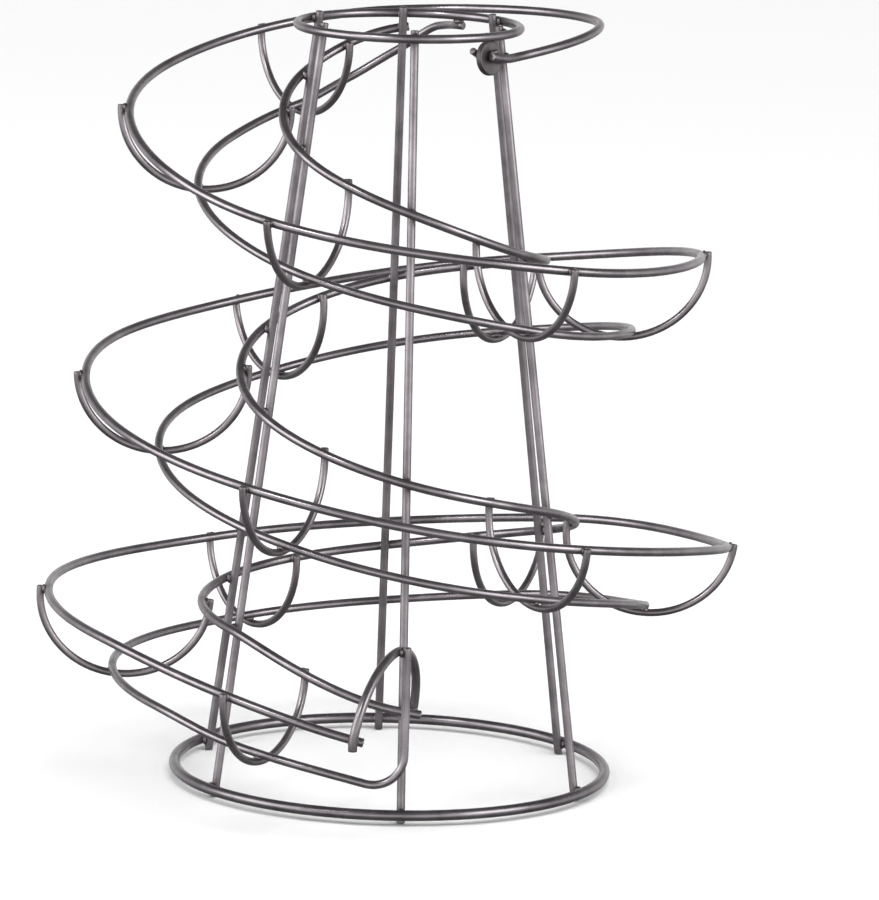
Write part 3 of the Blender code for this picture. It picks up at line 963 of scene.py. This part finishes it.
# %% [markdown]
# ## The weld beads
# A spot weld's collar is a flat blob of metal between two round wires. A small
# ball is squashed along the line between the wires until it only just comes out
# of the crease, and noise makes each one a little different. All the beads of one
# seam are one piece. The list made with the paths gives their places.

# %% Beads for every weld on the list
BEAD_SUBDIVISIONS = 3
BEAD_RADIUS = 0.6               # as a share of the thinner wire
BEAD_HALF_HEIGHT = 0.36         # likewise
BEAD_UNEVENNESS = 0.16
LUMPS_PER_BEAD = 1.3
BEAD_METALS = {
    # the base ring's beads share its painted-shade tones
    "base_ring": "shaded_base_wire", "top_ring": "ring_wire",
    "inner_rail": "rail_wire", "rail_ends": "rail_wire",
    "outer_rail": "cradle_wire", "inner_side": "cradle_wire", "bottom_rail": "cradle_wire",
    "stop": "stop_wire", "plate": "stop_wire",
}


def add_bead(shape, place, towards, size):
    """A squashed, uneven ball between two wires."""
    ball = bmesh.ops.create_icosphere(shape, subdivisions=BEAD_SUBDIVISIONS, radius=1)
    verts = ball["verts"]
    for vertex in verts:
        lump = noise.noise(vertex.co * LUMPS_PER_BEAD + place / MM)
        vertex.co *= 1 + BEAD_UNEVENNESS * lump
    squash = (size * BEAD_RADIUS, size * BEAD_RADIUS, size * BEAD_HALF_HEIGHT)
    bmesh.ops.scale(shape, vec=squash, verts=verts)
    turn = towards.to_track_quat("Z", "Y").to_matrix().to_4x4()
    bmesh.ops.transform(shape, matrix=Matrix.Translation(place) @ turn, verts=verts)


for family, welds in WELDS.items():
    beads = bmesh.new()
    for place, towards, size in welds:
        add_bead(beads, place, towards, size)
    made = finish_piece(beads, "weld_beads_" + family, BEAD_METALS[family], [])
    print(made.name, len(welds), "beads")

# %% [markdown]
# ## Floor, light and camera
# The picture is a plain product shot on white. A wire is a round mirror, so it
# shows whatever stands around the rack. The world gives it a bright band at
# about its own height, brightest in front of the rack and dimmer behind, and
# dim grey above and below it for the wires' dark edges. The camera sees the
# same world as plain white.
#
# Three soft lights add to that: a square one at the right front, a broad one at
# the left, and a small high one at the left front for narrow highlights. The
# pale floor has an even light of its own from above, which makes it nearly
# white. The wires mirror neither the floor nor that light.

# %% A pale floor
FLOOR_SIZE = 12                 # metres from its middle to an edge
FLOOR_DROP = 0.2 * MM           # so that the floor and the flat feet aren't in one plane
FLOOR_TONE = (0.82, 0.82, 0.82, 1)
FLOOR_ROUGHNESS = 0.9


def pale_floor():
    shape = bmesh.new()
    bmesh.ops.create_grid(shape, x_segments=1, y_segments=1, size=FLOOR_SIZE)
    bmesh.ops.translate(shape, vec=(0, 0, -FLOOR_DROP), verts=shape.verts)
    mesh = bpy.data.meshes.new("floor")
    shape.to_mesh(mesh)
    shape.free()
    paint = bpy.data.materials.new("floor_paint")
    paint.use_nodes = True
    shader = paint.node_tree.nodes["Principled BSDF"]
    shader.inputs["Base Color"].default_value = FLOOR_TONE
    shader.inputs["Roughness"].default_value = FLOOR_ROUGHNESS
    mesh.materials.append(paint)
    floor = bpy.data.objects.new("floor", mesh)
    bpy.context.scene.collection.objects.link(floor)
    floor.visible_glossy = False
    floor.visible_shadow = False
    return floor


pale_floor()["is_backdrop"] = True
print("floor laid")

# %% A world with a bright band in front
BAND_TILT = 0.04                # the upward part of the direction to the band's middle
BAND_CORE = 0.05                # from here on up and down it fades
BAND_EDGE = 0.6                 # and here it ends
BAND_GLOW = 1.15
BAND_BACK = 0.5                 # the backward part of the direction where it is dimmest
BAND_FRONT = -0.8               # and where it is brightest
BACK_SHARE = 0.52
SURROUND_GLOW = 0.2


def studio_world():
    """A bright band for the wires to mirror; for the camera the world is white."""
    world = bpy.data.worlds.new("studio")
    world.use_nodes = True
    tree = world.node_tree
    path = add_node(tree, "LightPath")
    way = add_node(tree, "SeparateXYZ", {0: add_node(tree, "TexCoord").outputs["Generated"]})
    tilt = maths(tree, "ABSOLUTE", maths(tree, "SUBTRACT", way.outputs["Z"], BAND_TILT))
    band = add_node(tree, "MapRange", {
        "Value": tilt, "From Min": BAND_CORE, "From Max": BAND_EDGE, "To Min": 1.0, "To Max": 0.0},
        interpolation_type="SMOOTHSTEP")
    front = add_node(tree, "MapRange", {
        "Value": way.outputs["Y"], "From Min": BAND_BACK, "From Max": BAND_FRONT,
        "To Min": BACK_SHARE}, interpolation_type="SMOOTHSTEP")
    share = maths(tree, "MULTIPLY", band.outputs[0], front.outputs[0])
    glow = maths(tree, "MULTIPLY_ADD", share, BAND_GLOW, SURROUND_GLOW)
    grey = add_node(tree, "CombineColor", {0: glow, 1: glow, 2: glow})
    seen = blend_colour(tree, path.outputs["Is Camera Ray"], grey.outputs[0], (1.0, 1.0, 1.0))
    tree.links.new(seen, tree.nodes["Background"].inputs["Color"])
    bpy.context.scene.world = world


studio_world()
print("world", bpy.context.scene.world.name)

# %% Soft lights
TARGET = Vector((0, 0, 0.11))   # the middle of the rack, which the lights point at
SKY_POWER = 2.6
SKY_SPREAD = math.radians(50)
SKY_TURN = (math.radians(12), math.radians(10), 0)


def soft_light(name, place, width, height, power):
    """A rectangular soft light that points at the rack."""
    light = bpy.data.lights.new(name, "AREA")
    light.shape = "RECTANGLE"
    light.size = width
    light.size_y = height
    light.energy = power
    lamp = bpy.data.objects.new(name, light)
    lamp.location = place
    lamp.rotation_euler = (TARGET - Vector(place)).to_track_quat("-Z", "Y").to_euler()
    bpy.context.scene.collection.objects.link(lamp)


def sky_light():
    """An even light from above for the floor; the wires don't mirror it."""
    light = bpy.data.lights.new("sky_light", "SUN")
    light.energy = SKY_POWER
    light.angle = SKY_SPREAD
    lamp = bpy.data.objects.new("sky_light", light)
    lamp.rotation_euler = SKY_TURN
    lamp.visible_glossy = False
    bpy.context.scene.collection.objects.link(lamp)


soft_light("key_light", place=(1.5, -1.0, 0.8), width=1.1, height=1.1, power=14)
soft_light("left_light", place=(-1.6, -0.3, 0.6), width=1.5, height=1.1, power=13)
soft_light("window_light", place=(-1.3, -1.5, 1.65), width=0.45, height=0.45, power=14)
sky_light()
bpy.context.scene.view_settings.view_transform = "Standard"

# %% The camera, at the picture's own place
CAMERA_TURN = math.radians(-3.43)                   # its way around the rack's axis
CAMERA_PLACE = Vector((0, -1956.7, 457.6)) * MM     # before that turn
CAMERA_YAW = 0.0064             # in radians, as are the next two
CAMERA_PITCH = 0.1807
CAMERA_ROLL = -0.0275
SENSOR_HEIGHT = 36
FOCAL_LENGTH = 6636.8           # in the picture's pixels
PICTURE_HEIGHT = 900


def aim_camera():
    """Places the camera 2 m away, turned down and rolled as in the picture."""
    yaw, pitch, roll = CAMERA_YAW, CAMERA_PITCH, CAMERA_ROLL
    ahead = Vector((math.sin(yaw) * math.cos(pitch), math.cos(yaw) * math.cos(pitch), -math.sin(pitch)))
    right = Vector((math.cos(yaw), -math.sin(yaw), 0))
    down = ahead.cross(right)
    across = math.cos(roll) * right + math.sin(roll) * down
    downwards = -math.sin(roll) * right + math.cos(roll) * down
    axes = Matrix((across, -downwards, -ahead)).transposed().to_4x4()
    around = Matrix.Translation(AXIS) @ Matrix.Rotation(CAMERA_TURN, 4, "Z")
    data = bpy.data.cameras.new("camera")
    data.sensor_fit = "VERTICAL"
    data.sensor_height = SENSOR_HEIGHT
    data.lens = SENSOR_HEIGHT * FOCAL_LENGTH / PICTURE_HEIGHT
    camera = bpy.data.objects.new("camera", data)
    camera.matrix_world = around @ Matrix.Translation(CAMERA_PLACE) @ axes
    bpy.context.scene.collection.objects.link(camera)
    bpy.context.scene.camera = camera
    return camera


print("camera at", [round(v, 3) for v in aim_camera().matrix_world.translation])

# %% [markdown]
# ## The two boxes
# The dressed rack's box is printed beside the CAD model's box. The dressed rack has to
# stay inside the CAD model's box.

# %% Print the two boxes and finish
DRESSED_BOX = [[float(v) for v in corner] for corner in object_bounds()]
for side, cad, dressed in zip("xyz", zip(*CAD_BOX), zip(*DRESSED_BOX)):
    print(side, "CAD", in_mm(cad, 2), "dressed", in_mm(dressed, 2))
